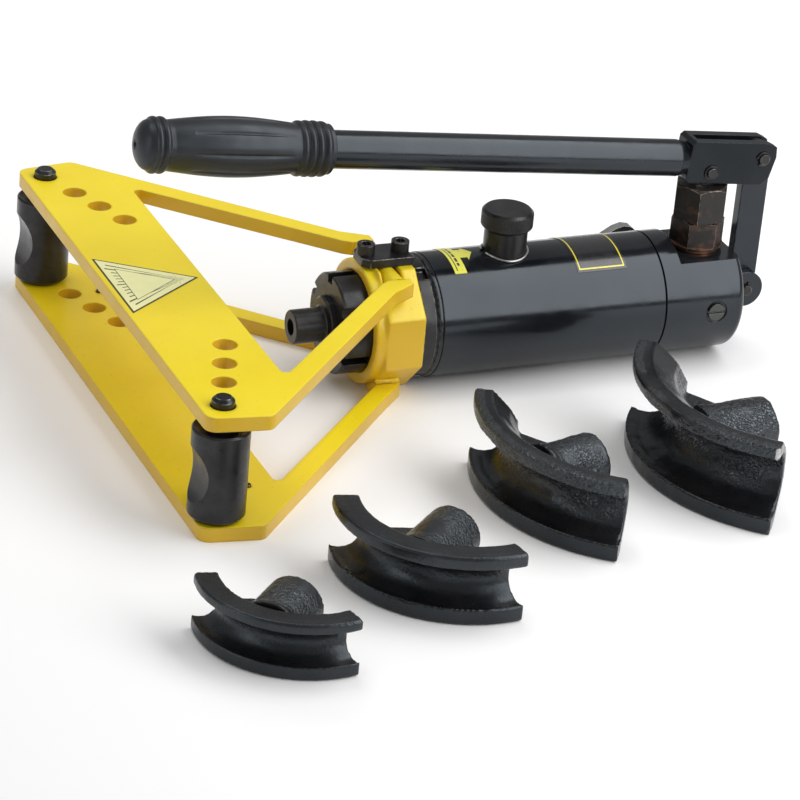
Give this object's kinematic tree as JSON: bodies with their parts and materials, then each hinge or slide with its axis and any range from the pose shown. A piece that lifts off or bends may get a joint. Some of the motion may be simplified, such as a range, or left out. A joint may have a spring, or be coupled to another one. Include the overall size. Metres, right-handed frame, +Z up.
{
  "type": "manual tube bender",
  "caption": "Hand-pumped hydraulic tube bender with two yellow wings, rollers on pins, a pump with a long handle, and loose bending formers.",
  "frame": {"origin": "on the underside of the lower wing, midway between the two roller pins", "axes": "+Z up; the ram slides along -X towards the rollers; the wings reach out along Y; the handle lies over the body in the XZ plane"},
  "size_m": [0.4241, 0.4614, 0.1657],
  "materials": {
    "wing_paint": "thick semi-gloss yellow paint on steel",
    "tank_paint": "gloss black paint",
    "black_steel": "black oxide, satin, turned",
    "handle_paint": "semi-gloss black paint",
    "bronzed_steel": "dark bronze oxide, worn edges",
    "copper": "dull copper",
    "bright_steel": "plain turned steel",
    "seal_rubber": "smooth black rubber",
    "grip_rubber": "moulded rubber, satin",
    "smooth_casting": "black paint on smooth cast iron",
    "rough_casting": "black paint on rough cast iron",
    "arrow_print": "printed film, no lettering",
    "plate_print": "printed film with a yellow border, no lettering",
    "scale_print": "printed film with a black border and tick marks"
  },
  "bodies": {
    "frame": {"lower_wing": "wing_paint", "collar": "wing_paint", "strut_welds": "wing_paint", "foot_screws": "black_steel", "clamp_plate": "black_steel", "clamp_screws": "black_steel", "front_nut": "black_steel", "lock_ring": "black_steel", "barrel": "bright_steel", "rod_seal": "seal_rubber", "return_spring": "bright_steel", "reservoir_tube": "tank_paint", "reservoir_front_cap": "tank_paint", "filler_neck": "black_steel", "filler_washer": "bright_steel", "pump_base": "tank_paint", "relief_plug": "bright_steel", "copper_washer": "copper", "pump_lock_nut": "bronzed_steel", "pump_barrel": "bronzed_steel", "plunger_seal": "seal_rubber", "link_foot_pin": "black_steel", "link_foot_pin_clips": "black_steel", "near_roller_pin": "black_steel", "near_pin_clip": "black_steel", "far_roller_pin": "black_steel", "far_pin_clip": "black_steel", "arrow_label": "arrow_print", "plate_label": "plate_print"},
    "upper_wing": {"upper_wing": "wing_paint", "scale_label": "scale_print"},
    "ram": {"ram": "black_steel", "piston_seal": "seal_rubber"},
    "plunger": {"plunger": "bright_steel"},
    "handle": {"handle_fork": "handle_paint", "handle_tube": "handle_paint", "handle_grip": "grip_rubber", "plunger_pin": "black_steel", "plunger_pin_clips": "black_steel", "link_top_pin": "black_steel", "link_top_pin_clips": "black_steel"},
    "link": {"link": "handle_paint"},
    "near_roller": {"near_roller": "black_steel"},
    "far_roller": {"far_roller": "black_steel"},
    "filler_cap": {"filler_cap": "black_steel"},
    "release_valve": {"release_valve_stem": "bright_steel", "release_lever": "bright_steel"},
    "former_three_eighth_inch": {"former_three_eighth_inch": "smooth_casting"},
    "former_half_inch": {"former_half_inch": "smooth_casting"},
    "former_three_quarter_inch": {"former_three_quarter_inch": "rough_casting"},
    "former_one_inch": {"former_one_inch": "rough_casting"}
  },
  "joints": [
    {"name": "ram_slide", "type": "slide", "parent": "frame", "child": "ram", "axis": [-1, 0, 0], "range_m": [0, 0.1], "stiffness_N_per_m": 600, "springref_m": -0.02, "deforming": ["return_spring"]},
    {"name": "plunger_slide", "type": "slide", "parent": "frame", "child": "plunger", "axis": [0, 0, 1], "range_m": [0, 0.017]},
    {"name": "handle_hinge", "type": "hinge", "parent": "plunger", "child": "handle", "pos_m": [0.3355, 0, 0.1085], "axis": [0, 1, 0], "range_deg": [0, 30]},
    {"name": "link_hinge", "type": "hinge", "parent": "frame", "child": "link", "pos_m": [0.367, 0, 0.034], "axis": [0, 1, 0], "range_deg": [-1, 0]},
    {"name": "upper_wing_hinge", "type": "hinge", "parent": "frame", "child": "upper_wing", "pos_m": [0.144, 0, 0.06445], "axis": [0, 1, 0], "range_deg": [0, 18]},
    {"name": "near_roller_spin", "type": "hinge", "parent": "frame", "child": "near_roller", "pos_m": [0, -0.145, 0.0334], "axis": [0, 0, 1], "continuous": true},
    {"name": "far_roller_spin", "type": "hinge", "parent": "frame", "child": "far_roller", "pos_m": [0, 0.145, 0.0334], "axis": [0, 0, 1], "continuous": true},
    {"name": "filler_cap_turn", "type": "hinge", "parent": "frame", "child": "filler_cap", "pos_m": [0.2173, 0, 0.088], "axis": [0, 0, 1], "range_deg": [0, 360]},
    {"name": "release_lever_turn", "type": "hinge", "parent": "frame", "child": "release_valve", "pos_m": [0.318, 0.039, 0.04], "axis": [0, 1, 0], "range_deg": [0, 60]},
    {"name": "three_eighth_former_lift", "type": "slide", "parent": "frame", "child": "former_three_eighth_inch", "axis": [0, 0, 1], "range_m": [0, 0.12]},
    {"name": "half_former_lift", "type": "slide", "parent": "frame", "child": "former_half_inch", "axis": [0, 0, 1], "range_m": [0, 0.12]},
    {"name": "three_quarter_former_lift", "type": "slide", "parent": "frame", "child": "former_three_quarter_inch", "axis": [0, 0, 1], "range_m": [0, 0.12]},
    {"name": "one_former_lift", "type": "slide", "parent": "frame", "child": "former_one_inch", "axis": [0, 0, 1], "range_m": [0, 0.12]}
  ],
  "couplings": [
    {"joint": "plunger_slide", "follows": "handle_hinge", "m_per_rad": 0.0318},
    {"joint": "link_hinge", "follows": "handle_hinge", "ratio": -0.0167}
  ]
}
